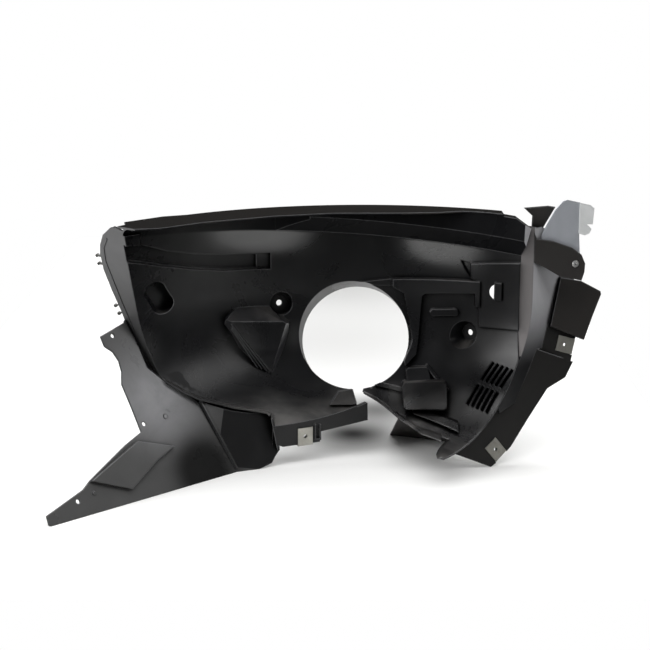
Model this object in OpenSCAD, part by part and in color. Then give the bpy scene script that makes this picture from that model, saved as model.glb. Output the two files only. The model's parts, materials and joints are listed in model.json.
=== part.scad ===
// Inner liner of a front wheel arch, standing on its inboard edge as it was photographed.
// Origin at the middle of the strut hole, X to the right, Y away from the wheel, Z up, millimetres.

/* [Arch wall] */
// Thickness of the moulded sheet
wall = 2.5; // [2:0.1:3.2]
// Inside radius of the arch wall
arch_r = 362; // [360:0.5:364]
// Radius of the turn into the inboard side
turn_r = 172; // [168:1:176]
// Height at which that turn begins
turn_z = 63; // [60:1:66]
// Height of the roof lip's top face
roof_z = 178; // [172:1:184]
// Radius of the corner between arch wall and roof lip
corner_r = 12; // [8:1:30]
// Height of the fold line of the roof ramp at the middle
ramp_z = 137; // [134:1:140]
// Fall of the ramp towards the right end, in degrees
ramp_fall = 4.5; // [3:0.5:6]
// How far the ramp comes forward of the arch wall
ramp_out = 14; // [11:0.5:16]
// Height that the ramp rises while it comes forward
ramp_rise = 24; // [20:1:28]
// How far the roof lip stands out behind the arch wall
lip_out = 6.5; // [4:0.5:8]

/* [Strut hole] */
// Radius of the strut hole
bore_r = 73; // [68:0.5:75]
// Length of the collar behind the hole's middle
collar_back = 9; // [8:1:16]
// Width of the slot below the hole
slot_w = 17; // [13:1:19]

/* [Pockets] */
// Radius of the screw holes in the pockets
screw_r = 4; // [3:0.5:6]
// Radius of the round pocket
round_r = 15.5; // [12:0.5:17]
// Depth of the round pocket
round_depth = 10; // [6:0.5:13]
// Radius of the cone pocket at its mouth
cone_r = 21.5; // [18:0.5:22.5]
// Radius of the cone pocket's floor
cone_floor_r = 11; // [8:0.5:13]
// Depth of the cone pocket
cone_depth = 13; // [8:0.5:15]
// Half width of the oval pocket
oval_r = 12.5; // [9:0.5:14]
// Depth of the oval pocket
oval_depth = 13; // [8:0.5:14]
// Depth of the long channel
channel_depth = 5; // [3:0.5:7]
// Depth of the channel's inner step
channel_step = 4; // [2:0.5:6]

/* [Ribs and bosses] */
// Height of the angled bar beside the hole
bar_h = 8; // [4:0.5:10]
// Height of the raised box at the top right
box_h = 5; // [4:0.5:7]
// Height of the bosses above the right arm
boss_h = 12; // [8:0.5:14]
// Radius of the bosses' rounded corners
boss_round = 5; // [3:0.5:6]
// Height of the small ribs
rib_h = 4; // [2:0.5:6]
// How far the wedge stands out
wedge_out = 0; // [-4:1:4]
// Radius of the ridges on the wedge's side
ridge_r = 1.3; // [0.8:0.1:1.8]

/* [Louvre] */
// Number of louvre slots side by side
louvre_n = 5; // [3:1:5]
// Width of one louvre slot
louvre_w = 3; // [2:0.2:3.6]
// Distance from slot to slot
louvre_pitch = 5.4; // [5:0.2:5.6]
// Length of one louvre slot
louvre_len = 28; // [20:1:30]
// Depth of the hood behind the louvre
hood_depth = 12; // [8:0.5:13]

/* [Flanges and wing] */
// Thickness of the flanges and of the wing
sheet = 2.5; // [2:0.1:3.2]
// How deep the right rim's flat cuts off the edge between wall and slope
rim_cut = 7.2; // [6:0.2:8]
// Height of the bead along the wing's crease
crease_h = 2.5; // [2:0.5:4]
// Radius of the bead on the fold between wing and box panel
fold_r = 3; // [2.6:0.2:4]
// Radius of the wing's screw holes
wing_hole_r = 2.8; // [2.2:0.2:3.4]
// Height of the pad pressed into the wing
pad_h = 5; // [3:0.5:7]
// How far the lettering tab stands in front of the tab behind it
tab_step = 6; // [4:0.5:9]
// Depth of the rim around the left flange
left_rim = 5; // [3:0.5:8]

/* [Spring nuts] */
// Width of a spring nut
nut_w = 21; // [18:0.5:23]
// Length of a spring nut over its flange
nut_len = 23; // [20:0.5:26]
// Thickness of the nut's spring steel
nut_t = 1.2; // [0.8:0.1:1.5]
// Radius of the nut's screw hole
nut_hole_r = 2.6; // [2:0.1:3.2]

/* [Bracket] */
// Thickness of the bracket's sheet metal
bracket_t = 1.6; // [1:0.1:2]
// How far the bracket's leg stands forward of its plate
leg_step = 3; // [2:0.5:4]
// Radius of the rivet's hole
rivet_hole_r = 1.8; // [1.4:0.1:2.2]
// Radius of the rivet's shank
rivet_r = 3.2; // [2.8:0.1:3.6]
// Radius of the rivet's rolled heads
rivet_head_r = 4.8; // [4.4:0.1:5.6]

/* [Clips] */
// Length that a barbed clip stands out
clip_out = 11; // [8:0.5:14]
// Thickness of a clip's prongs
clip_t = 1.6; // [1.2:0.1:2]
// Radius of the pin that holds a clip in the rim
clip_pin_r = 1.4; // [1:0.1:1.8]

/* [Hidden] */
$fn = 96;

far = 700;
mid = wall / 2;
gap = 0.3;
turn_c = arch_r - turn_r;
roof_under = roof_z - wall;
corner_z = roof_under - corner_r;
floor_z = -147;

// The axis that the arch is turned about, and the part of a turn that it covers
axis = [10, -347, 0];
sweep_from = 40;
sweep = 116;

// Planes of the flat parts: a point, the way the face looks from above, and its upward tilt
bore_plane = [[0, 0, 0], -10, 27];
left_plane = [[-291, -145, 171], -38, -12];
wing_plane = [[-153.5, -130, floor_z], 42.5, 28.3];
panel_plane = [[-153.5, -130, floor_z], 21.1, 20.5];
skirt_plane = [[-83, -98, -93], 24, 0];
right_plane = [[177.6, -110.1, floor_z], 47.5, 0];
outer_plane = [[177.6, -110.1, floor_z], 24.8, 14.8];
tab_plane = [[273.8, -5.1, 85.9], 15, 11.5];
strap_plane = [[232.5, -50.2, 152.7], 15, 0];

// Wedge corners and the planes of its four faces
wedge_a = [-163.3, -54, 35.3];
wedge_t = [-111.6, -45, -36.5];
wedge_b = [-91, -29, 29];

// Outlines seen from the front, in X and Z
arch_edge = [[-330, 220], [190, 220], [192, 174.8], [208, 173.5], [232, 157], [270, 150], [270, -125], [101, -125], [101, -111], [121, -102],
             [104, -101], [84, -99], [59, -89.6], [29, -73.2], [10.5, -65], [15, -53], [15, -46],
             [15 - slot_w - 2, -46], [15 - slot_w - 2, -58.5], [2.5, -75.8], [3, -125], [-106, -125],
             [-108, -85], [-116, -79.6], [-158.5, -69.7], [-184, -60.7], [-202, -54.4],
             [-222.6, -42.9], [-247, -25], [-266.4, -6.6], [-277.6, 18.5], [-330, 100]];
crease = [[-277.6, 18.5], [-266.4, -6.6], [-247, -25], [-222.6, -42.9], [-202, -54.4],
          [-184, -60.7], [-158.5, -69.7], [-116, -79.6], [-112, -82.3]];
channel_edge = [[-300, 157], [-270, 149.7], [-242, 136], [-210.5, 127], [-172.7, 121], [-112.6, 117.6],
                [-112.6, 96], [-173, 99], [-211, 106], [-247, 116.6], [-300, 137]];
wedge_edge = [[-172.6, 29], [-171.3, 35.5], [-165, 42], [-158.4, 46.2], [-142, 48.5], [-115, 44.6],
              [-88, 23.6], [-89.3, 12], [-96.4, -13.7], [-108, -37], [-116, -39], [-133.6, -27.4],
              [-153, -5.6], [-163.6, 16.4]];

// Flat shape in a part's own plane
module facing(plane) translate(plane[0]) rotate([90 - plane[2], 0, plane[1]]) children();

// Everything between two distances in front of a plane
module slab(plane, near, front) facing(plane) translate([-far, -far, near]) cube([2 * far, 2 * far, front - near]);

// Sheet of the given thickness behind a plane's face
module plate(plane, thick, lift = 0) facing(plane) translate([0, 0, lift - thick]) linear_extrude(thick) children();

// Prism straight back through a shape seen from the front
module through(near = -400, back = 100)
    translate([0, back, 0]) rotate([90, 0, 0]) linear_extrude(back - near) children();

// Round bar between two points
module rod(p, q, r) {
    d = q - p;
    translate(p) rotate([0, acos(d[2] / norm(d)), atan2(d[1], d[0])]) cylinder(r = r, h = norm(d), $fn = 24);
}

// Band of width w along a line of points, a little fuller at each bend
module band(points, w)
    for (i = [0 : len(points) - 2]) {
        d = points[i + 1] - points[i];
        translate(points[i]) rotate(atan2(d[1], d[0])) translate([0, -w / 2]) square([norm(d), w]);
        translate(points[i]) circle(w / 2 + 0.15, $fn = 16);
    }

module capsule(p, q, r) {
    translate(p) circle(r);
    translate(q) circle(r);
    d = q - p;
    translate(p) rotate(atan2(d[1], d[0])) translate([0, 0.4 - r]) square([norm(d), 2 * r - 0.8]);
}

// Outline with its outer corners rounded
module rounded(r) offset(r = r) offset(delta = -r) children();

// Section of the arch between two distances behind its inner face, in radius and height
module arch_section(near, back) {
    intersection() {
        translate([turn_c, turn_z]) difference() {
            circle(turn_r + back, $fn = 120);
            circle(turn_r + near, $fn = 120);
        }
        translate([turn_c, turn_z - turn_r - far]) square([far, turn_r + far]);
    }
    translate([arch_r + near, turn_z]) square([back - near, corner_z - turn_z]);
    intersection() {
        translate([arch_r - corner_r, corner_z]) difference() {
            circle(corner_r + back);
            circle(corner_r + near);
        }
        translate([arch_r - corner_r, corner_z]) square(far);
    }
    translate([arch_r - 62, roof_under + near]) square([62 - corner_r, back - near]);
}

module arch(near, back)
    translate(axis) rotate_extrude(angle = sweep, start = sweep_from, $fn = 180) arch_section(near, back);

// The space inside the arch, up to a distance behind its inner face
module inside(back = mid)
    translate(axis) rotate_extrude(angle = sweep + 40, start = sweep_from - 20, $fn = 180) {
        intersection() {
            translate([turn_c, turn_z]) circle(turn_r + back, $fn = 120);
            translate([turn_c, turn_z - turn_r - far]) square([far, turn_r + far]);
        }
        translate([0, turn_z - turn_r - back]) square([turn_c, turn_r + back + corner_z - turn_z]);
        translate([0, turn_z]) square([arch_r + back, corner_z - turn_z]);
        translate([0, corner_z]) square([arch_r - corner_r, corner_r + back]);
        intersection() {
            translate([arch_r - corner_r, corner_z]) circle(corner_r + back);
            translate([arch_r - corner_r, corner_z]) square(far);
        }
    }

// Sunk and raised shapes: each has a body to add and a space to cut
module sunk(depth) intersection() { arch(mid, depth + wall); through() offset(delta = wall) children(); }
module sunk_space(depth) intersection() { arch(-1, depth); through() children(); }
module raised(h) intersection() { arch(-h, mid); through() children(); }
module raised_space(h) intersection() { arch(wall - h, wall + 1); through() offset(delta = -wall) children(); }

// Round pocket with a screw hole in its floor
module cup(plane, r_top, r_floor, depth)
    facing(plane) translate([0, 0, -depth - wall])
        cylinder(r1 = r_floor + wall, r2 = r_top + wall, h = depth + wall + 8);
module cup_space(plane, r_top, r_floor, depth) facing(plane) {
    translate([0, 0, -depth]) cylinder(r1 = r_floor, r2 = r_top, h = depth + 8);
    translate([0, 0, -depth - 2 * wall]) cylinder(r = screw_r, h = 2 * wall + 1);
}

round_cup = [[-99, -2.2, 47.3], 17.5, 5.5];
cone_cup = [[148.3, -21.1, 10.8], -36, 6];
bar_edge = [[52, 79.5], [166, 83], [166, 48], [160.5, 48], [159.5, 66], [95.3, 61.2], [91, 58],
            [86, 0], [83, -18], [68, -33], [66, -28], [76, -8], [78, 0], [67.5, 60], [52, 68]];
lip_edge = [[4, 73.5], [22, 76], [52, 79.5], [52, 69], [35, 69], [15, 70]];
top_box_edge = [[154.5, 105.6], [260, 119], [260, 25.5], [165, 21.8], [165, 82], [155.2, 85.3]];
notch_edge = [[141.2, 108.6], [154, 105.6], [154.7, 85.3], [150, 92]];
clip_pad_edge = [[184.5, 84], [193, 84], [193, 60], [184.5, 60]];
low_boss_edge = [[64, -77], [63, -51], [103, -47], [122, -46.5], [120, -74]];
high_boss_edge = [[70, -54], [69, -35.5], [98, -33], [103, -54]];
end_pad_edge = [[-310, 168], [-271, 165], [-271, 150], [-310, 157]];

module oval() capsule([-257, 86], [-248.5, 68], oval_r);
module channel_inner() offset(delta = -2) intersection() {
    polygon(channel_edge);
    translate([-330, 80]) square([330 - 130, 90]);
}
module oblong() capsule([107, 35], [134, 37.5], 5);
module low_rib() band([[79.4, -80], [133, -90]], 7);
arm_pad_edge = [[-22, -63.5], [-3.5, -61], [2.5, -76.7], [-33, -76]];

// Wedge boss: planes through its corners, moved back by d for its hollow side
module wedge(d = 0) intersection() {
    translate([0, -wedge_out, 0]) slab([wedge_a, 19.7, 7.1], -200, -d);
    slab([wedge_a, 27.7, 61.2], -200, -d);
    slab([wedge_a, -26.1, -23.2], -200, -d);
    slab([wedge_b, 68, -11.3], -200, -d);
    through() offset(delta = -d) polygon(wedge_edge);
}

// Louvre slots and the hood behind them
louvre_at = [143.2, -71.5];
louvre_turn = 53.9;
louvre_skew = 2.4;
module louvre_slots() translate(louvre_at) rotate(louvre_turn)
    for (i = [0 : louvre_n - 1], row = [0, 1])
        translate([3 + louvre_skew * i + row * (louvre_len + 6), -3 - louvre_pitch * i - louvre_w / 2])
            square([louvre_len, louvre_w]);
module hood_outline(open) translate(louvre_at) rotate(louvre_turn)
    polygon([[-open, 1.5], [69, 1.5], [79, -28.5], [9.6 - open, -28.5]]);

// Roof ramp: slopes forward from the arch wall to the roof lip and falls to the right
module ramp_turn() translate(axis + [0, 0, ramp_z]) rotate([0, ramp_fall, 0])
    rotate_extrude(angle = sweep, start = sweep_from, $fn = 180) children();
module ramp_section(in, top) polygon([[arch_r + mid, in * 1.6], [arch_r + mid, top],
                                      [arch_r - ramp_out + in, top], [arch_r - ramp_out + in, ramp_rise + in / 2]]);
// The ramp fades into the wall at its left end and slants off at the rim
module ramp_reach(in) intersection() {
    union() {
        translate([-60, -far, 0]) cube([400, 2 * far, far]);
        translate([-130, in - 4, 0]) cube([100, 60, far]);
    }
    through() polygon([[-130, 0], [216 - 3 * in, 0], [216 - 3 * in, 123], [228 - 7 * in, 161], [232 - 16 * in, 168],
                       [232 - 16 * in, 220], [-130, 220]]);
}
module ramp() intersection() {
    ramp_turn() ramp_section(0, 60);
    ramp_reach(0);
    translate([-far, -far, 0]) cube([2 * far, 2 * far, roof_under + mid]);
}
module ramp_space() intersection() {
    ramp_turn() ramp_section(wall, 70);
    ramp_reach(wall);
    translate([-far, -far, 0]) cube([2 * far, 2 * far, roof_under]);
}
module roof_ring() translate(axis) rotate_extrude(angle = sweep, start = sweep_from, $fn = 180)
    translate([arch_r - corner_r - 1, roof_under]) square([corner_r + lip_out + 1, wall]);
// At its left end the roof lip widens to the back
roof_tail_edge = [[-292, -111], [-285, -140], [-262, -128], [-225, -95], [-180, -56], [-160, -42], [-150, -19],
                  [-197, -47], [-248, -69.5]];
module roof_tail() translate([0, 0, roof_under + 0.2]) linear_extrude(wall - 0.4) polygon(roof_tail_edge);
// The roof lip's front edge, seen from above
roof_edge = [[-330, -400], [-330, -166], [-285, -164], [-242, -153], [-192, -111], [-107, -66], [-28, -43],
             [60, -42], [105, -37.5], [140, -27.5], [158, -32], [176, -41], [196, -54], [270, -120], [270, -400]];

module arch_body() {
    intersection() {
        union() {
            arch(0, wall);
            ramp();
            roof_ring();
            roof_tail();
            sunk(channel_depth) polygon(channel_edge);
            sunk(channel_depth + channel_step) channel_inner();
            sunk(oval_depth) oval();
            raised(bar_h) polygon(bar_edge);
            raised(rib_h) polygon(lip_edge);
            raised(box_h) polygon(top_box_edge);
            raised(box_h + 3) polygon(clip_pad_edge);
            raised(boss_h) rounded(boss_round) polygon(low_boss_edge);
            raised(boss_h / 2) rounded(boss_round) polygon(high_boss_edge);
            raised(rib_h) oblong();
            raised(rib_h + 1) low_rib();
            raised(rib_h) polygon(arm_pad_edge);
            raised(rib_h) band([[17, -52.5], [30, -55], [65, -61]], 4);
            raised(rib_h) band([[13, -66], [29, -71.5], [59, -88], [84, -97], [110, -100]], 3);
            raised(rib_h) band([[97.5, -33], [117, -54], [124, -58]], 4);
            raised(3) polygon(end_pad_edge);
            sunk(3) polygon(notch_edge);
            intersection() {
                arch(mid, hood_depth + wall);
                through() hood_outline(2);
            }
            difference() {
                union() {
                    cup(round_cup, round_r, round_r, round_depth);
                    cup(cone_cup, cone_r, cone_floor_r, cone_depth);
                }
                inside();
            }
            intersection() {
                wedge();
                inside();
            }
            intersection() {
                arch(-crease_h, 9);
                through() band(crease, 5);
            }
        }
        through() polygon(arch_edge);
        slab(right_plane, -far, 0);
        slab(left_plane, -far, 0);
    }
}
module arch_spaces() {
    ramp_space();
    sunk_space(channel_depth) polygon(channel_edge);
    sunk_space(channel_depth + channel_step) channel_inner();
    sunk_space(oval_depth) oval();
    raised_space(bar_h) polygon(bar_edge);
    raised_space(box_h) intersection() {
        polygon(top_box_edge);
        translate([100, 0]) square([104, 150]);
    }
    raised_space(boss_h) rounded(boss_round) polygon(low_boss_edge);
    sunk_space(3) polygon(notch_edge);
    cup_space(round_cup, round_r, round_r, round_depth);
    cup_space(cone_cup, cone_r, cone_floor_r, cone_depth);
    intersection() {
        wedge(wall);
        inside(wall + 1);
    }
    intersection() {
        arch(-6, wall + 1);
        through() louvre_slots();
    }
    through() translate([22, -59.5]) circle(1.8, $fn = 24);
    intersection() {
        arch(wall, hood_depth);
        through() hood_outline(30);
        through() offset(delta = -wall) hood_outline(30);
    }
    through() intersection() {
        translate([189.5, 70.5]) circle(11.3);
        translate([176, 58]) square([8, 25]);
    }
    translate([0, 0, roof_under - 0.5]) linear_extrude(40) polygon(roof_edge);
    intersection() {
        slab(skirt_plane, 0, far);
        through() translate([-107, -130]) square([112, 80]);
    }
}

module collar() difference() {
    facing(bore_plane) translate([0, 0, -collar_back]) cylinder(r = bore_r + wall, h = collar_back + 40);
    inside();
    through() translate([-4, -130]) square([17, 90]);
}
module bore() facing(bore_plane) translate([0, 0, -60]) cylinder(r = bore_r, h = 160);

// Left end flange with its raised rim
left_edge = [[-10.3, 5.4], [1, 2], [12, -60], [22, -110], [30, -170], [30, -205], [-3.8, -187.3], [-14, -163.4],
             [-25.9, -124.4], [-28.5, -113.2], [-39.1, -83.2], [-46.7, -56.5], [-47.4, -34.3], [-44.2, -22.3],
             [-35.5, -7.8], [-19.8, 3.4]];
left_rim_line = [[-18, 2], [-34.5, -8.5], [-43, -22.5], [-46.2, -34.5], [-45.5, -56.3], [-38, -83], [-27.5, -113],
                 [-24.5, -124.4]];
module left_flange() {
    difference() {
        plate(left_plane, sheet) polygon(left_edge);
        inside();
        through() translate([-400, -130]) square([400, 118]);
    }
    plate(left_plane, sheet + left_rim) band(left_rim_line, sheet);
    plate(left_plane, sheet + 1, 1) band([[-29.5, -12.4], [-38.5, -25], [-39.8, -44.3], [-24.6, -98.3], [-12.2, -136]], 2);
}

// Wall that closes the space between wing and left flange
module seam_wall() intersection() {
    through(-220, -60) band([[-295, 50], [-279, 16], [-267, -8], [-248, -23]], sheet);
    slab(wing_plane, -far, 0);
    slab(left_plane, -sheet, far);
}

wing_edge = [[-94.2, 223.5], [-135.7, 211.5], [-134.5, 197.7], [-125.3, 188.6], [-120.9, 175.8], [-121.6, 161.3],
             [-127.2, 146], [-124.2, 117], [-121.5, 81.7], [-148.6, 71.4], [-211.9, 40.7], [-225.1, 32.1],
             [-282.7, 13.7], [-283.1, 2.7], [-277.6, -4], [3.8, -4], [-18.2, 103.7], [-18, 130], [-60, 190]];
pad_edge = [[-133.6, 71.3], [-83.3, 53.2], [-114, 41.8], [-161.7, 15.6], [-213.2, 38.5]];
module wing() difference() {
    union() {
        intersection() {
            union() {
                plate(wing_plane, sheet) polygon(wing_edge);
                plate(wing_plane, sheet + pad_h - 0.5, pad_h) intersection() {
                    offset(delta = 0.01) polygon(pad_edge);
                    polygon(wing_edge);
                }
            }
            through(-400, 0) polygon([[-420, 120], [-295, 52], [-277.6, 18.5], [-266.4, -6.6], [-247, -25],
                                      [-222.6, -42.9], [-202, -54.4], [-140, -60], [-140, -200], [-420, -200]]);
        }
        facing(wing_plane) translate([-212.5, 24, -sheet]) cylinder(r = 2.5, h = sheet + 1);
        facing(wing_plane) translate([-80, 93.3, -sheet]) cylinder(r = 3, h = sheet + 1);
    }
    facing(wing_plane) {
        for (p = [[-118.5, 209], [-114, 90.6], [-237, 19.8]])
            translate([p[0], p[1], -20]) cylinder(r = wing_hole_r, h = 40);
        translate([0, 0, -far - sheet - 0.5 + pad_h - sheet]) linear_extrude(far)
            offset(delta = -sheet) polygon(pad_edge);
    }
}

panel_edge = [[-38.6, 98.6], [-42, 108], [6, 92], [57.3, 74], [60, 20.8], [53.4, 13.2], [48.3, 5.9], [17.9, -4],
              [-0.5, -4]];
module box_panel() {
    difference() {
        plate(panel_plane, sheet) polygon(panel_edge);
        inside();
    }
    rod(ridge_top, ridge_foot, fold_r);
    intersection() {
        through(-122, -84) translate([-110, -126]) rotate(0) polygon([[0, 45], [3, 45], [11, 0], [8, 0]]);
        slab(skirt_plane, -40, 0);
    }
}
ridge_top = [-201.5, -111, -57];
ridge_foot = [-155, -128, floor_z + 4];

// Where each spring nut sits on its sheet, and its turn
skirt_seat = [[18.5, -18], 0];
tab_seat = [[3.6, -92.4], 73];
outer_seat = [[8.8, 22.1], 36];

skirt_edge = [[-24, 40], [-23, -24], [-13, -29], [40, -29], [41, -15], [110, -8], [109.5, 16], [70, 40]];
module skirt() {
    difference() {
        plate(skirt_plane, sheet) difference() {
            polygon(skirt_edge);
            translate(skirt_seat[0]) circle(nut_hole_r + 1);
        }
        inside();
        through() polygon([[3, -60], [3, -74], [30, -72], [30, -40]]);
    }
    plate(skirt_plane, sheet + 3, 3) band([[32.5, -4], [32.5, -24.5], [39.5, -24.5], [39.5, -4]], 2);
}

// Flap from the underside of the right arm back to the floor
flap_plane = [[51, 22.5, floor_z], -20.9, -57.7];
module flap() difference() {
    plate(flap_plane, sheet) polygon([[-2, -5], [80, -5], [130, 118], [46, 118]]);
    inside();
}

// Right side: sloped flange behind the rim, outer flange, tabs
slope_edge = [[62, 306], [62, 212], [58, 145], [40, 110], [12, 80], [16, 70], [50, 76], [97, 140], [107, 140],
              [142.5, 232.9], [125, 283], [110, 300], [98, 306]];
module slope() difference() {
    plate(right_plane, sheet) polygon(slope_edge);
    inside();
}

// Flat of the right rim, turned about an axis of its own so that it faces the front
module rim_turned() translate([211, rim_cut - 71.8, 0]) children();
module rim_space() intersection() {
    rim_turned() inside(0);
    through(-140, 0) polygon([[215, -40], [215, 123], [216.5, 123], [228, 161], [228, 200], [270, 200], [270, -40]]);
}
module rim_strip() difference() {
    intersection() {
        rim_turned() arch(0, wall);
        through(-140, 0) polygon([[214, -40], [214, 150], [218, 158], [226, 161.5], [236, 160], [240, 150],
                                  [240, -40]]);
        slab(right_plane, -far, 0);
    }
    inside();
}

outer_edge = [[86, 147], [143.3, 122.5], [128.3, 102.8], [98.7, 91.6], [63.1, 54.9], [33, 22.1], [11.3, 5.4], [0, 0],
              [-52, 24.6], [-52, 40], [-20, 60], [20, 80], [50, 120]];
tab_edge = [[-37, -96], [-30, -94.8], [0, 0], [-0.4, -6.3], [0, 6], [30, 0], [56.6, -23.4], [57.3, -27.9],
            [43.5, -56.1], [29.6, -87.4], [24, -84], [11.3, -116], [-37, -116]];
box_edge = [[0, -2], [28.9, -8], [56.6, -23.4], [57.3, -27.9], [43.5, -56.1], [29.6, -87.4], [-18, -66.1]];
rivet_seat = [59.5, -44.1];
strap_edge = [[0, 2], [2.8, -7.7], [26.8, -11.9], [54.4, -22.3], [67.8, -32.1], [73.6, -44.6], [73, -56],
              [69.4, -67.3], [36.7, -59.2], [17, -47.4], [0.7, -39.1]];
module outer_flange() {
    difference() {
        plate(outer_plane, sheet) difference() {
            polygon(outer_edge);
            translate(outer_seat[0]) circle(nut_hole_r + 1);
            nut_notch(outer_seat);
        }
        inside();
    }
    difference() {
        plate(tab_plane, sheet) difference() {
            polygon([[-37, -98], [-29.8, -94.8], [0, 0], [20, -4], [45, -30], [20, -84], [11.3, -116.5], [-37, -118]]);
            translate(tab_seat[0]) circle(nut_hole_r + 1);
            nut_notch(tab_seat);
        }
    }
    difference() {
        plate(tab_plane, sheet + tab_step, tab_step) polygon(box_edge);
        plate(tab_plane, far, tab_step - sheet) offset(delta = -sheet) polygon(box_edge);
    }
}
module strap() {
    difference() {
        plate(strap_plane, sheet) difference() {
            polygon(strap_edge);
            translate(rivet_seat) circle(rivet_r + 0.2);
        }
    }
    // The strap's upper end turns back to the slope
    intersection() {
        through(-70, 0) band([[234, 147], [236, 114]], sheet);
        slab(strap_plane, -60, 0);
        slab(right_plane, -sheet, far);
    }
}
module corner_tab() intersection() {
    plate(strap_plane, sheet, -14) polygon([[-9.4, 31], [24.7, 32.2], [34.3, 30.4], [16.3, 1.1], [14, -10], [2, -10],
                                            [2.9, 19.9]]);
    slab(right_plane, -far, far);
}

module liner_shell() color([0.10, 0.10, 0.12]) difference() {
    union() {
        difference() {
            union() {
                difference() {
                    arch_body();
                    arch_spaces();
                }
                slope();
            }
            rim_space();
        }
        rim_strip();
        collar();
        left_flange();
        seam_wall();
        wing();
        box_panel();
        skirt();
        outer_flange();
        strap();
        corner_tab();
        flap();
        for (i = [1 : 3]) rod(wedge_a + [0, 0.5, -3.5 * i], wedge_t + [-6 * i, 0.5, 2 * i], ridge_r);
    }
    bore();
    for (seat = clip_seats) at_clip(seat) translate([-2, 0, -5]) rotate([0, 90, 0]) cylinder(r = clip_pin_r + gap, h = 6);
    // Everything ends at the floor
    translate([0, 0, floor_z - 50]) cube([2 * far, 2 * far, 100], center = true);
}

// Notch in a sheet's edge where a spring nut folds round it
module nut_notch(seat) translate(seat[0]) rotate(seat[1]) translate([-nut_w / 2 - 0.5, gap - nut_len / 2 - 12])
    square([nut_w + 1, 12]);

// Folded spring nut: two leaves on both faces of a sheet, joined over its edge
module spring_nut(plane, seat) color([0.72, 0.71, 0.66])
    facing(plane) translate([seat[0][0], seat[0][1], 0]) rotate(seat[1]) {
        for (side = [0, 1]) difference() {
            translate([-nut_w / 2, -nut_len / 2, side == 0 ? gap : -sheet - gap - nut_t])
                cube([nut_w, nut_len, nut_t]);
            translate([0, 0, -10]) cylinder(r = nut_hole_r, h = 20);
        }
        translate([-nut_w / 2, -nut_len / 2 - nut_t, -sheet - gap - nut_t])
            cube([nut_w, nut_t, sheet + 2 * gap + 2 * nut_t]);
    }
module skirt_nut() spring_nut(skirt_plane, skirt_seat);
module tab_nut() spring_nut(tab_plane, tab_seat);
module flange_nut() spring_nut(outer_plane, outer_seat);

// Barbed clip: two prongs that stand out of the left flange's rim, on a base whose pin goes through the rim
clip_seats = [[[-47.4, -45], 1.8], [[-30.9, -108.8], 19.5]];
module at_clip(seat) facing(left_plane) translate([seat[0][0], seat[0][1], 0]) rotate(seat[1]) children();
module edge_clip(seat) color([0.15, 0.15, 0.14]) at_clip(seat) {
    for (s = [-1, 1]) translate([-clip_out, s * 5.5 - clip_t / 2, -7]) {
        cube([clip_out, clip_t, 4]);
        translate([0, clip_t / 2, 2]) rotate(45) translate([-clip_t, -clip_t, -2]) cube([2 * clip_t, 2 * clip_t, 4]);
    }
    translate([-clip_t, -6.6, -7.3]) cube([clip_t, 13.2, 4.6]);
    translate([-clip_t / 2, 0, -5]) rotate([0, 90, 0]) cylinder(r = clip_pin_r, h = clip_t / 2 + sheet + 2.5);
}
module upper_clip() edge_clip(clip_seats[0]);
module lower_clip() edge_clip(clip_seats[1]);

bracket_edge = [[11.9, -3.8], [19.2, 10.5], [29.6, 27.9], [40.4, 39.4], [46.7, 40.9], [64.5, 36.6], [64.5, -6],
                [66, -25], [68, -40], [66, -56], [50, -52], [30, -44], [12, -20]];
bracket_leg = [[63, 37], [77.4, 33.4], [83.4, 28.8], [81.9, 7.6], [73.6, 7.9], [80.6, 1.6], [77.6, -4.2],
               [71.3, -6.6], [63, -4]];
module wing_bracket() color([0.70, 0.74, 0.80]) {
    plate(strap_plane, bracket_t, -sheet - gap) difference() {
        polygon(bracket_edge);
        translate(rivet_seat) circle(rivet_r + 0.2);
    }
    plate(strap_plane, bracket_t, leg_step - sheet - gap) polygon(bracket_leg);
    plate(strap_plane, leg_step + bracket_t / 2, leg_step - sheet - gap - bracket_t / 4)
        translate([63.4, -3.6]) square([bracket_t / 2, 39.6]);
}
module bracket_rivet() color([0.66, 0.66, 0.66]) facing(strap_plane) translate(rivet_seat) difference() {
    union() {
        translate([0, 0, -sheet - gap - bracket_t - 1]) cylinder(r = rivet_r, h = sheet + gap + bracket_t + 2);
        translate([0, 0, gap]) cylinder(r1 = rivet_head_r, r2 = rivet_head_r - 1, h = 1.2);
        translate([0, 0, -sheet - 2 * gap - bracket_t - 1.2]) cylinder(r = rivet_head_r, h = 1.2);
    }
    translate([0, 0, -20]) cylinder(r = rivet_hole_r, h = 40);
}

liner_shell();
skirt_nut();
tab_nut();
flange_nut();
upper_clip();
lower_clip();
wing_bracket();
bracket_rivet();
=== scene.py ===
import json
import math

import bpy
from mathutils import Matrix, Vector


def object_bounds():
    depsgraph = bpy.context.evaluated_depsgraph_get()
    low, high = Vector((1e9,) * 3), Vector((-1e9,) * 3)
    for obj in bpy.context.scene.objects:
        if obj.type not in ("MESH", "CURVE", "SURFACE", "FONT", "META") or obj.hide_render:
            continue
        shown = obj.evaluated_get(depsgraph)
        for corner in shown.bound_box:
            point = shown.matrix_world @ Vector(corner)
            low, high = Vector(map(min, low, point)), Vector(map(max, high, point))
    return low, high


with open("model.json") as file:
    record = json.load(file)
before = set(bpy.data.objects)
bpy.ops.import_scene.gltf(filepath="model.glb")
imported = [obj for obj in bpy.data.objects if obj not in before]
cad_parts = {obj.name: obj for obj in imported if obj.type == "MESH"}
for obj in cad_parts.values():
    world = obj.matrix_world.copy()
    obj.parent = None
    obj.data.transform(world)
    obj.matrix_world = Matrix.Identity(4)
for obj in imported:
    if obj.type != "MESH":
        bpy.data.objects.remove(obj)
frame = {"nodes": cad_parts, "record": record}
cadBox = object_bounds()
nodes = frame["nodes"]
mounts = {mount["name"]: mount for mount in frame["record"]["mounts"]}
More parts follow.
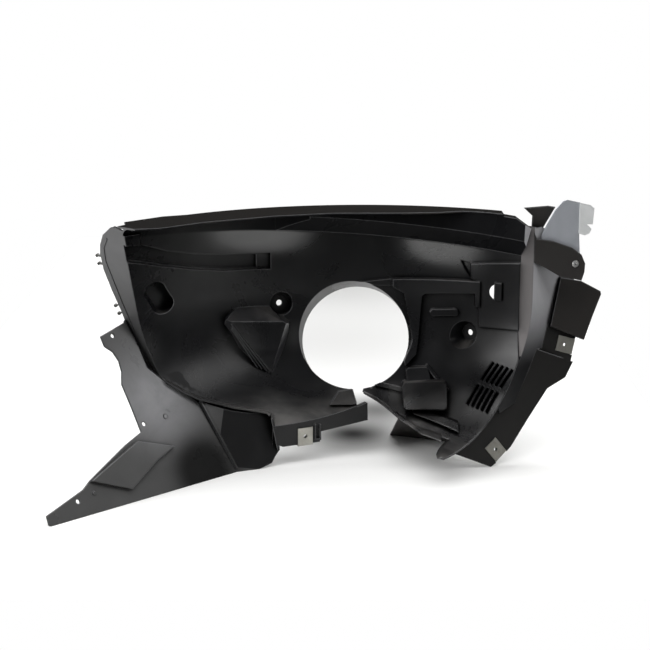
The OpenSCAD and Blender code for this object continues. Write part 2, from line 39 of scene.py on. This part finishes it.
print("frame loaded:", len(nodes), "nodes")


# Helpers for the nodes of a material or of the sky
class Shader:
    def __init__(self, owner):
        self.owner = owner
        owner.use_nodes = True
        self.tree = owner.node_tree
        self.tree.nodes.clear()
        self.coords = self.add("TexCoord").outputs["Object"]
        self.geometry = self.add("NewGeometry").outputs

    def add(self, kind):
        return self.tree.nodes.new("ShaderNode" + kind)

    def link(self, value, socket):
        if isinstance(value, bpy.types.NodeSocket):
            self.tree.links.new(value, socket)
        elif isinstance(value, tuple) and len(value) < len(socket.default_value):
            socket.default_value = value + (1.0,)
        else:
            socket.default_value = value

    def noise(self, scale, detail=4.0, rough=0.55, stretch=(1.0, 1.0, 1.0), warp=0.0):
        mapping = self.add("Mapping")
        self.link(self.coords, mapping.inputs["Vector"])
        self.link(stretch, mapping.inputs["Scale"])
        node = self.add("TexNoise")
        self.link(mapping.outputs["Vector"], node.inputs["Vector"])
        self.link(scale, node.inputs["Scale"])
        self.link(detail, node.inputs["Detail"])
        self.link(rough, node.inputs["Roughness"])
        self.link(warp, node.inputs["Distortion"])
        return node.outputs["Fac"]

    def ramp(self, fac, low, high, a=0.0, b=1.0):
        node = self.add("MapRange")
        node.interpolation_type = "SMOOTHSTEP"
        self.link(fac, node.inputs["Value"])
        self.link(low, node.inputs["From Min"])
        self.link(high, node.inputs["From Max"])
        self.link(a, node.inputs["To Min"])
        self.link(b, node.inputs["To Max"])
        return node.outputs["Result"]

    def math(self, kind, a, b=0.0):
        node = self.add("Math")
        node.operation = kind
        self.link(a, node.inputs[0])
        self.link(b, node.inputs[1])
        return node.outputs[0]

    def vectorMath(self, kind, a, b=(0.0, 0.0, 0.0)):
        node = self.add("VectorMath")
        node.operation = kind
        self.link(a, node.inputs[0])
        self.link(b, node.inputs[1])
        isNumber = kind in ("LENGTH", "DOT_PRODUCT", "DISTANCE")
        return node.outputs["Value" if isNumber else "Vector"]

    def mix(self, fac, a, b, kind="RGBA"):
        first, result = {"FLOAT": (2, 0), "VECTOR": (4, 1), "RGBA": (6, 2)}[kind]
        node = self.add("Mix")
        node.data_type = kind
        self.link(fac, node.inputs[0])
        self.link(a, node.inputs[first])
        self.link(b, node.inputs[first + 1])
        return node.outputs[result]

    def split(self, vector):
        node = self.add("SeparateXYZ")
        self.link(vector, node.inputs[0])
        return node.outputs

    def upright(self, height):
        node = self.add("CombineXYZ")
        self.link(height, node.inputs["Z"])
        return node.outputs[0]

    def scaled(self, vector, length):
        node = self.add("VectorMath")
        node.operation = "SCALE"
        self.link(vector, node.inputs[0])
        self.link(length, node.inputs["Scale"])
        return node.outputs["Vector"]

    def near(self, middle, reach):
        # 1 at the middle of a patch and 0 from its reach on
        return self.ramp(self.vectorMath("DISTANCE", self.coords, middle), 0.0, reach, 1.0, 0.0)

    def rounded(self, radius):
        # The surface's direction, as if its edges had this radius
        node = self.add("Bevel")
        node.samples = 6
        self.link(radius, node.inputs["Radius"])
        return node.outputs["Normal"]

    def openness(self, reach):
        # Low in corners and pockets, 1 on free surfaces
        node = self.add("AmbientOcclusion")
        node.samples = 8
        node.only_local = True
        self.link(reach, node.inputs["Distance"])
        return self.ramp(node.outputs["AO"], 0.35, 0.88)

    def bump(self, height, distance, strength, normal):
        node = self.add("Bump")
        self.link(height, node.inputs["Height"])
        self.link(distance, node.inputs["Distance"])
        self.link(strength, node.inputs["Strength"])
        self.link(normal, node.inputs["Normal"])
        return node.outputs["Normal"]

    def finish(self, colour, roughness, specular=0.5, normal=None, metallic=0.0, coat=0.0):
        surface = self.add("BsdfPrincipled")
        self.link(colour, surface.inputs["Base Color"])
        self.link(roughness, surface.inputs["Roughness"])
        self.link(metallic, surface.inputs["Metallic"])
        self.link(specular, surface.inputs["Specular IOR Level"])
        self.link(coat, surface.inputs["Coat Weight"])
        if normal is not None:
            self.link(normal, surface.inputs["Normal"])
        self.link(surface.outputs[0], self.add("OutputMaterial").inputs["Surface"])
        return self.owner


# The arch wall as the part's source turns it, in metres, and the soft curls under the roof's fold,
# which are a turn of the light only
arch = {
    "axis": (0.010, -0.347, 0.0),
    "turnHeight": 0.063,  # the wall stands upright above this
    "turnReach": 0.190,  # from the axis to the middle of the turn below
    "foldHeight": 0.138,  # the roof's fold at the strut hole's middle
    "foldFall": 0.0787,  # how much it falls for each metre to the right
    "curlDepth": 0.042,
    "curl": 0.42,  # how far the wall seems to turn up there
    "curls": [(-0.125, 0.10), (0.115, 0.075)],  # middle and reach of each, along the wall
}


def foldMasks(s):
    # Above the roof's fold, and just below it where the wall curls forward at two places
    across, _, height = s.split(s.coords)
    fold = s.math("SUBTRACT", arch["foldHeight"], s.math("MULTIPLY", across, arch["foldFall"]))
    below = s.math("SUBTRACT", fold, height)
    over = s.ramp(below, -0.003, 0.001, 1.0, 0.0)
    under = s.math("MULTIPLY", s.ramp(below, 0.0, arch["curlDepth"], 1.0, 0.0), s.math("SUBTRACT", 1.0, over))
    places = 0.0
    for middle, reach in arch["curls"]:
        off = s.math("ABSOLUTE", s.math("SUBTRACT", across, middle))
        places = s.math("ADD", places, s.ramp(off, 0.0, reach, 1.0, 0.0))
    return over, s.math("MULTIPLY", under, places)


def archNormal(s, rounded, curled):
    # The turned wall's true direction, without its flat facets: level above the turn, tilted below it
    flat = s.vectorMath("MULTIPLY", s.vectorMath("SUBTRACT", s.coords, arch["axis"]), (1.0, 1.0, 0.0))
    fromTurn = s.math("SUBTRACT", s.vectorMath("LENGTH", flat), arch["turnReach"])
    side = s.scaled(s.vectorMath("NORMALIZE", flat), fromTurn)
    below = s.math("MINIMUM", s.math("SUBTRACT", s.split(s.coords)[2], arch["turnHeight"]), 0.0)
    away = s.vectorMath("NORMALIZE", s.vectorMath("ADD", side, s.upright(below)))
    lifted = s.vectorMath("ADD", away, s.upright(s.math("MULTIPLY", curled, arch["curl"])))
    inward = s.vectorMath("MULTIPLY", lifted, (-1.0, -1.0, -1.0))
    turned = s.vectorMath("SUBTRACT", rounded, s.geometry["Normal"])
    onWall = s.vectorMath("NORMALIZE", s.vectorMath("ADD", inward, turned))
    fit = s.vectorMath("DOT_PRODUCT", away, s.geometry["True Normal"])
    return s.mix(s.ramp(fit, -0.95, -0.92, 1.0, 0.0), rounded, onWall, "VECTOR")


# Moulded plastic: cloudy, dusty on level parts, scuffed, with painted shade in corners, painted highlights on
# edges and patches of painted light and painted shade
moulding = {
    "dustColour": (0.20, 0.19, 0.18),
    "edgeHighlightColour": (0.15, 0.15, 0.155),
    "edgeLight": (-0.45, -0.2, 0.87),  # painted highlight on edges that turn this way
    "paintedLightColour": (0.05, 0.05, 0.05),
    "scuffs": 0.15,
    "pocketReach": 0.018,
    "cornerShadeShare": 0.12,  # share of the colour that is left in a corner, as painted shade
    "waveDepth": 0.0006,
    "grainDepth": 0.00008,
    "scratchDepth": 0.00006,
}


def mouldedPlastic(name, colour, roughness, dust=0.55, edge=0.0022, specular=0.4, onArch=False, fade=None,
                   paintedLight=(), paintedShade=(), paintedLightColour=moulding["paintedLightColour"]):
    s = Shader(bpy.data.materials.new(name))
    rounded = s.rounded(edge)
    # A painted highlight on edges that turn up and to the left
    edgeTurn = s.vectorMath("SUBTRACT", rounded, s.geometry["Normal"])
    edgeHighlight = s.ramp(s.vectorMath("DOT_PRODUCT", edgeTurn, moulding["edgeLight"]), 0.03, 0.25)
    if onArch:
        over, curled = foldMasks(s)
        rounded = archNormal(s, rounded, curled)
        # Reflections are painted dimmer above the roof's fold, as painted shade under its lip, and stronger
        # in the curls, as a painted highlight
        shadedSpecular = s.math("MULTIPLY", s.math("SUBTRACT", 1.0, s.math("MULTIPLY", over, 0.7)), specular)
        specular = s.math("ADD", shadedSpecular, s.math("MULTIPLY", curled, 1.1))
    cloud = s.noise(9.0, 5.0, 0.6, warp=0.8)
    scratches = s.noise(60.0, 6.0, 0.75, (1.0, 0.25, 4.0), 1.5)
    upward = s.ramp(s.split(s.geometry["Normal"])[2], 0.62, 0.95)
    dusty = s.math("MULTIPLY", s.math("MULTIPLY", upward, s.ramp(cloud, 0.35, 0.72)), dust)
    worn = s.math("MULTIPLY", s.ramp(scratches, 0.60, 0.78), moulding["scuffs"])
    marks = s.math("MINIMUM", s.math("ADD", dusty, s.math("MULTIPLY", worn, 0.25)), 1.0)
    tone = s.mix(s.ramp(cloud, 0.3, 0.75, 0.0, 0.35), colour, tuple(c * 1.7 for c in colour))
    if fade:
        top, bottom, lowColour = fade
        tone = s.mix(s.ramp(s.split(s.coords)[2], bottom, top, 1.0, 0.0), tone, lowColour)
    light = s.openness(moulding["pocketReach"])
    # Patches of painted light: glows, sheen and areas painted as if lit more
    for middle, reach, share in paintedLight:
        patch = s.near(middle, reach)
        strength = s.math("MULTIPLY", patch, s.ramp(cloud, 0.2, 0.6, 0.55 * share, share))
        tone = s.mix(strength, tone, paintedLightColour)
        light = s.math("MAXIMUM", light, patch)
    # Patches of painted shade
    for middle, reach, left in paintedShade:
        light = s.math("MULTIPLY", light, s.ramp(s.near(middle, reach), 0.0, 0.8, 1.0, left))
    free = s.mix(edgeHighlight, s.mix(marks, tone, moulding["dustColour"]), moulding["edgeHighlightColour"])
    # Painted shade: colour and reflections are darkened in corners, in pockets and under the shaded patches
    paint = s.mix(light, tuple(c * moulding["cornerShadeShare"] for c in colour), free)
    specular = s.math("MULTIPLY", s.ramp(light, 0.0, 1.0, 0.2, 1.0), specular)
    cloudy = s.ramp(cloud, 0.25, 0.8, roughness - 0.05, roughness + 0.12)
    rough = s.math("ADD", cloudy, s.math("MULTIPLY", marks, 0.35))
    normal = s.bump(s.noise(5.5, 2.0, 0.4), moulding["waveDepth"], 0.6, rounded)
    normal = s.bump(s.noise(420.0, 3.0, 0.6), moulding["grainDepth"], 0.5, normal)
    normal = s.bump(scratches, moulding["scratchDepth"], 0.2, normal)
    return s.finish(paint, rough, specular, normal)


# Liner: one moulding, with a finish for each of its areas
# A patch of painted light or painted shade is its middle, its reach, and how much it paints or how much light
# it leaves, and a fade is the height where it starts, the height where it ends and the colour there
wallColour = (0.0055, 0.0056, 0.0064)
liner = {
    "wall": {
        "colour": wallColour,
        "roughness": 0.28,
        "onArch": True,
        # Painted light: a glow along the bottom of the bowl, a lighter upper left wall and a few lighter
        # spots; painted shade on the low boss, the arms and the wall's right side with its box and louvre
        "paintedLight": [((-0.10, -0.095, -0.088), 0.055, 1.0), ((-0.04, -0.10, -0.095), 0.055, 1.0),
                 ((-0.20, -0.054, 0.13), 0.13, 0.8), ((-0.158, -0.043, 0.0), 0.045, 1.0),
                 ((-0.078, -0.02, 0.01), 0.03, 1.0), ((0.052, -0.045, -0.064), 0.022, 0.8),
                 ((-0.276, -0.122, 0.014), 0.04, 0.8)],
        "paintedShade": [((0.105, -0.080, -0.068), 0.060, 0.25), ((0.156, -0.100, -0.080), 0.060, 0.30),
                   ((0.160, -0.025, 0.02), 0.09, 0.55), ((0.199, -0.03, 0.087), 0.06, 0.55),
                   ((0.180, -0.06, -0.055), 0.055, 0.5), ((0.140, -0.03, -0.03), 0.06, 0.6)],
    },
    "back": {"colour": (0.015, 0.0133, 0.0122), "roughness": 0.62, "dust": 0.4},
    "outer": {"colour": (0.007, 0.0064, 0.006), "roughness": 0.62, "dust": 0.4},
    "strap": {"colour": (0.030, 0.0275, 0.026), "roughness": 0.62, "dust": 0.4},
    # The wedge's sides and top, painted lighter than the wall as painted light
    "ridge": {"colour": (0.026, 0.026, 0.028), "roughness": 0.34},
    "flange": {
        "colour": (0.172, 0.172, 0.174),
        "roughness": 0.55,
        "fade": (0.17, 0.02, (0.045, 0.045, 0.046)),
    },
    "rim": {"colour": (0.18, 0.17, 0.17), "roughness": 0.5},
    # The slope's light colour is a painted reflection, fading down to the wall's colour as painted shade
    "slope": {
        "colour": (0.40, 0.40, 0.415),
        "roughness": 0.5,
        "specular": 0.2,
        "fade": (0.08, -0.03, wallColour),
    },
    "wing": {
        "colour": (0.055, 0.055, 0.055),
        "roughness": 0.30,
        "dust": 0.3,
        # Painted sheen: a broad light patch on the upper wing, and painted shade at its foot
        "paintedLight": [((-0.255, -0.146, -0.041), 0.100, 1.0)],
        "paintedLightColour": (0.27, 0.27, 0.28),
        "paintedShade": [((-0.193, -0.157, -0.135), 0.080, 0.1)],
    },
    "collar": {"colour": (0.10, 0.10, 0.10), "roughness": 0.45},
    "panel": {"colour": (0.0045, 0.0045, 0.0050), "roughness": 0.42},
    "roof": {
        "colour": (0.0045, 0.004, 0.0036),
        "roughness": 0.7,
        "dust": 0.0,
        "edge": 0.0005,
        "specular": 0.02,
    },
}
linerFinishes = {name: mouldedPlastic("liner" + name.capitalize(), **look) for name, look in liner.items()}

# The flat areas: finish, then the plane's point in mm and its turn and tilt in degrees, as in the
# part's source, and how far in mm a face may lie from it
flatAreas = [
    ("flange", (-291, -145, 171), (-38, -12), 7.5),
    ("wing", (-153.5, -130, -147), (42.5, 28.3), 7.5),
    ("panel", (-153.5, -130, -147), (21.1, 20.5), 4),
    ("panel", (-83, -98, -93), (24, 0), 4),
    ("slope", (177.6, -110.1, -147), (47.5, 0), 4),
    ("outer", (177.6, -110.1, -147), (24.8, 14.8), 4),
    ("back", (273.8, -5.1, 85.9), (15, 11.5), 8),
    ("strap", (232.5, -50.2, 152.7), (15, 0), 18),
]
# The line in X and Z, in mm, where the wing bends into the wall
creaseLine = [(-278, 19), (-266, -7), (-247, -25), (-223, -43),
              (-202, -54), (-184, -61), (-159, -70), (-116, -80)]
# Where the areas end, in metres, and how nearly a face has to look one way to belong to them
limits = {
    "flatMatch": 0.9,
    "slopeLeft": 0.17,
    "flangeRight": -0.24,
    "panelTop": -0.02,
    "creaseMargin": 3.0,  # in mm, as the crease is
    "rimBox": ((0.203, -0.13, -0.04), (0.24, -0.045, 0.162)),
    "rimFront": -0.9,
    "rimSide": 0.16,
    "wedgeBox": ((-0.18, -0.4, -0.06), (-0.085, -0.02, 0.05)),
    "wedgeFace": 0.9,
    "collarDepth": 0.002,
    "collarAlong": 0.3,
    "collarLeft": 0.4,
    "roofHeight": 0.16,
    "roofUp": 0.8,
    "backTurned": -0.35,
}


def faceDirection(turn, tilt):
    a, e = math.radians(turn), math.radians(tilt)
    return Vector((math.cos(e) * math.sin(a), -math.cos(e) * math.cos(a), math.sin(e)))


def inwardAt(point):
    flat = Vector((point.x, point.y, 0.0)) - Vector((arch["axis"][0], arch["axis"][1], 0.0))
    away = flat.normalized() * (flat.length - arch["turnReach"])
    away.z = min(point.z - arch["turnHeight"], 0.0)
    return -away.normalized()


def inBox(point, box):
    return all(low < value < high for low, value, high in zip(box[0], point, box[1]))


def aboveCrease(point):
    x, z = point.x * 1000.0, point.z * 1000.0
    for (x0, z0), (x1, z1) in zip(creaseLine, creaseLine[1:]):
        if x0 <= x <= x1:
            return z > z0 + (z1 - z0) * (x - x0) / (x1 - x0) - limits["creaseMargin"]
    return x > creaseLine[0][0]


def pastEnd(finish, centre):
    # A plane runs on past its own sheet, and there it may meet the wall
    if finish == "slope":
        return centre.x < limits["slopeLeft"]
    if finish == "flange":
        return centre.x > limits["flangeRight"]
    if finish == "wing":
        return aboveCrease(centre)
    return finish == "panel" and centre.z > limits["panelTop"]


def areaOf(centre, normal):
    if inBox(centre, limits["rimBox"]) and normal.y < limits["rimFront"]:
        if abs(normal.x) < limits["rimSide"]:
            return "rim"
    for finish, point, turns, depth in flatAreas:
        face = faceDirection(*turns)
        away = (centre - Vector(point) / 1000.0).dot(face)
        if abs(away) < depth / 1000.0 and normal.dot(face) > limits["flatMatch"]:
            if not pastEnd(finish, centre):
                return finish
    hole = mounts["strut_hole"]
    along = Vector(hole["axis"])
    fromCollar = (centre - along * centre.dot(along)).length - hole["dims"]["r_mm"] / 1000.0
    if abs(fromCollar) < limits["collarDepth"] and abs(normal.dot(along)) < limits["collarAlong"]:
        if normal.x > limits["collarLeft"]:
            return "collar"
    inwardness = normal.dot(inwardAt(centre))
    if inBox(centre, limits["wedgeBox"]) and limits["backTurned"] < inwardness < limits["wedgeFace"]:
        return "ridge"
    if normal.z > limits["roofUp"] and centre.z > limits["roofHeight"]:
        return "roof"
    return "back" if inwardness < limits["backTurned"] else "wall"


def smooth(piece, degrees=20.0):
    bpy.ops.object.select_all(action="DESELECT")
    piece.select_set(True)
    bpy.context.view_layer.objects.active = piece
    bpy.ops.object.shade_smooth_by_angle(angle=math.radians(degrees))


shell = nodes["liner_shell"]
shell.data.materials.clear()
for finish in linerFinishes.values():
    shell.data.materials.append(finish)
finishOrder = list(linerFinishes)
for face in shell.data.polygons:
    face.material_index = finishOrder.index(areaOf(face.center, face.normal))
smooth(shell)
print("liner painted:", len(shell.data.polygons), "faces")


# Spring nuts, clips, bracket and rivet
nut = {
    "pieces": ("skirt_nut", "tab_nut", "flange_nut"),
    "colour": (0.42, 0.41, 0.37),
    "roughness": 0.38,
    "stainColour": (0.30, 0.25, 0.18),
}
clip = {
    "pieces": ("upper_clip", "lower_clip"),
    "colour": (0.030, 0.031, 0.026),
    "roughness": 0.45,
    "edge": 0.0004,
}
bracket = {
    "colour": (0.46, 0.48, 0.52),
    # The leg is painted near white, much lighter than the plate: painted light
    "legLitColour": (0.98, 1.0, 1.0),
    "legStart": 0.293,  # the folded leg is to the right of this
    "grimeColour": (0.16, 0.15, 0.14),
}
rivet = {
    "colour": (0.68, 0.68, 0.67),
    "roughness": 0.3,
}


def platedSteel(name, colour, roughness):
    s = Shader(bpy.data.materials.new(name))
    cloud = s.noise(55.0, 4.0, 0.6, warp=0.6)
    tone = s.mix(s.ramp(cloud, 0.3, 0.75), colour, tuple(c * 0.78 for c in colour))
    stain = s.math("MULTIPLY", s.ramp(s.noise(260.0, 2.0, 0.5), 0.62, 0.75), 0.35)
    paint = s.mix(stain, tone, nut["stainColour"])
    normal = s.bump(s.noise(90.0, 4.0, 0.7, (1.0, 1.0, 14.0)), 0.00006, 0.4, s.rounded(0.0005))
    return s.finish(paint, s.ramp(cloud, 0.3, 0.8, roughness - 0.06, roughness + 0.14), 0.5, normal, 0.75)


def paintedSheet(name, colour):
    s = Shader(bpy.data.materials.new(name))
    cloud = s.noise(14.0, 4.0, 0.6, warp=0.5)
    tone = s.mix(s.ramp(cloud, 0.3, 0.75), colour, tuple(c * 0.82 for c in colour))
    grime = s.math("MULTIPLY", s.ramp(s.noise(50.0, 5.0, 0.7, (5.0, 1.0, 0.3)), 0.58, 0.8), 0.35)
    paint = s.mix(grime, tone, bracket["grimeColour"])
    normal = s.bump(s.noise(240.0, 2.0, 0.5), 0.00005, 0.4, s.rounded(0.0006))
    return s.finish(paint, s.ramp(cloud, 0.3, 0.8, 0.30, 0.46), 0.5, normal, 0.0, 0.15)


def dress(name, *materials):
    piece = nodes[name]
    piece.data.materials.clear()
    for material in materials:
        piece.data.materials.append(material)
    smooth(piece)


nutSteel = platedSteel("nutSteel", nut["colour"], nut["roughness"])
clipPlastic = mouldedPlastic("clipPlastic", clip["colour"], clip["roughness"], edge=clip["edge"])
for name in nut["pieces"]:
    dress(name, nutSteel)
for name in clip["pieces"]:
    dress(name, clipPlastic)
dress("wing_bracket", paintedSheet("bracketPaint", bracket["colour"]),
      paintedSheet("bracketLegLit", bracket["legLitColour"]))
for face in nodes["wing_bracket"].data.polygons:
    face.material_index = int(face.center.x > bracket["legStart"])
dress("bracket_rivet", platedSteel("rivetAluminium", rivet["colour"], rivet["roughness"]))
print("small pieces painted")

# Floor: it ends just past the photo's shadow, and a painted shadow lies on it behind and below the part
floorPaper = {
    "left": -0.62,
    "right": 0.44,
    "front": -0.52,
    "back": 1.5,
    "colour": (0.93, 0.93, 0.92),
    "shades": [((-0.02, 0.95), 0.50, 0.50), ((-0.04, 0.55), 0.60, 0.62),
               ((0.0, 0.03), 0.13, 0.03), ((0.035, 0.14), 0.13, 0.17)],  # middle, reach and share left
}
floorHeight = cadBox[0][2]
corners = [(floorPaper[x], floorPaper[y], floorHeight) for x, y in
           (("left", "front"), ("right", "front"), ("right", "back"), ("left", "back"))]
paper = bpy.data.meshes.new("studioFloor")
paper.from_pydata(corners, [], [(0, 1, 2, 3)])
floor = bpy.data.objects.new("studioFloor", paper)
bpy.context.scene.collection.objects.link(floor)
floorShader = Shader(bpy.data.materials.new("floorPaper"))
floorTone = floorPaper["colour"]
for middle, reach, left in floorPaper["shades"]:
    shade = floorShader.near(middle + (floorHeight,), reach)
    floorTone = floorShader.mix(shade, floorTone, tuple(c * left for c in floorPaper["colour"]))
paper.materials.append(floorShader.finish(floorTone, 0.9, 0.0))

# Sky: plain white to the camera, and a dim light from in front, behind and above to the part
sky = {
    "front": 0.14,
    "behind": 0.10,
    "above": 0.10,
    "colour": (0.8, 0.8, 0.8),
    "seenColour": (1.0, 1.0, 1.0),
}
world = bpy.data.worlds.new("studioSky")
bpy.context.scene.world = world
air = Shader(world)
_, northward, upward = air.split(air.add("TexCoord").outputs["Generated"])
level = air.ramp(northward, -0.5, 0.5, sky["front"], sky["behind"])
backgrounds = []
for colour, strength in ((sky["colour"], air.mix(air.ramp(upward, 0.35, 0.95), level, sky["above"], "FLOAT")),
                         (sky["seenColour"], 1.0)):
    background = air.add("Background")
    air.link(colour, background.inputs["Color"])
    air.link(strength, background.inputs["Strength"])
    backgrounds.append(background.outputs[0])
seen = air.add("MixShader")
for value, socket in zip([air.add("LightPath").outputs["Is Camera Ray"]] + backgrounds, seen.inputs):
    air.link(value, socket)
air.link(seen.outputs[0], air.add("OutputWorld").inputs["Surface"])

# Lamps: overhead and floorFill don't shine in the plastic, and behind only does that
lamps = {
    "overhead": {"place": (0.0, 0.1, 1.9), "aim": (0.0, 0.1, -0.1), "size": (3.4, 3.4),
                 "power": 76.0, "glossy": False},
    "behind": {"place": (-0.1, 0.7, 1.9), "aim": (0.0, 0.0, -0.1), "size": (2.4, 1.2),
               "power": 92.0, "diffuse": False},
    "left": {"place": (-1.9, -0.9, 1.0), "aim": (-0.1, -0.1, 0.0), "size": (0.9, 1.2), "power": 24.0},
    "right": {"place": (1.47, -0.33, 1.28), "aim": (-0.25, -0.18, -0.07), "size": (1.2, 0.6), "power": 5.0},
    "floorFill": {"place": (0.0, 1.4, 2.4), "aim": (0.0, 1.2, -0.1), "size": (2.4, 1.2),
                  "power": 25.0, "glossy": False},
}
for name, lamp in lamps.items():
    data = bpy.data.lights.new(name, "AREA")
    data.shape = "RECTANGLE"
    data.size, data.size_y = lamp["size"]
    data.energy = lamp["power"]
    light = bpy.data.objects.new(name, data)
    light.location = lamp["place"]
    aim = Vector(lamp["aim"]) - Vector(lamp["place"])
    light.rotation_euler = aim.to_track_quat("-Z", "Y").to_euler()
    light.visible_glossy = lamp.get("glossy", True)
    light.visible_diffuse = lamp.get("diffuse", True)
    bpy.context.scene.collection.objects.link(light)
print("room and lamps made")

camera = {
    "place": (-0.0398, -1.9477, 0.5025),
    "pitch": 76.0,
    "lens": 82.05,
    "sensor": 36.0,
    "farthest": 60.0,
    "pixels": 650,
}
lens = bpy.data.cameras.new("photoLens")
lens.sensor_width = camera["sensor"]
lens.lens = camera["lens"]
lens.clip_end = camera["farthest"]
photographer = bpy.data.objects.new("photographer", lens)
photographer.location = camera["place"]
photographer.rotation_euler = (math.radians(camera["pitch"]), 0.0, 0.0)
bpy.context.scene.collection.objects.link(photographer)
scene = bpy.context.scene
scene.camera = photographer
scene.render.engine = "CYCLES"
scene.render.resolution_x = camera["pixels"]
scene.render.resolution_y = camera["pixels"]
scene.view_settings.view_transform = "Standard"
print("camera placed")
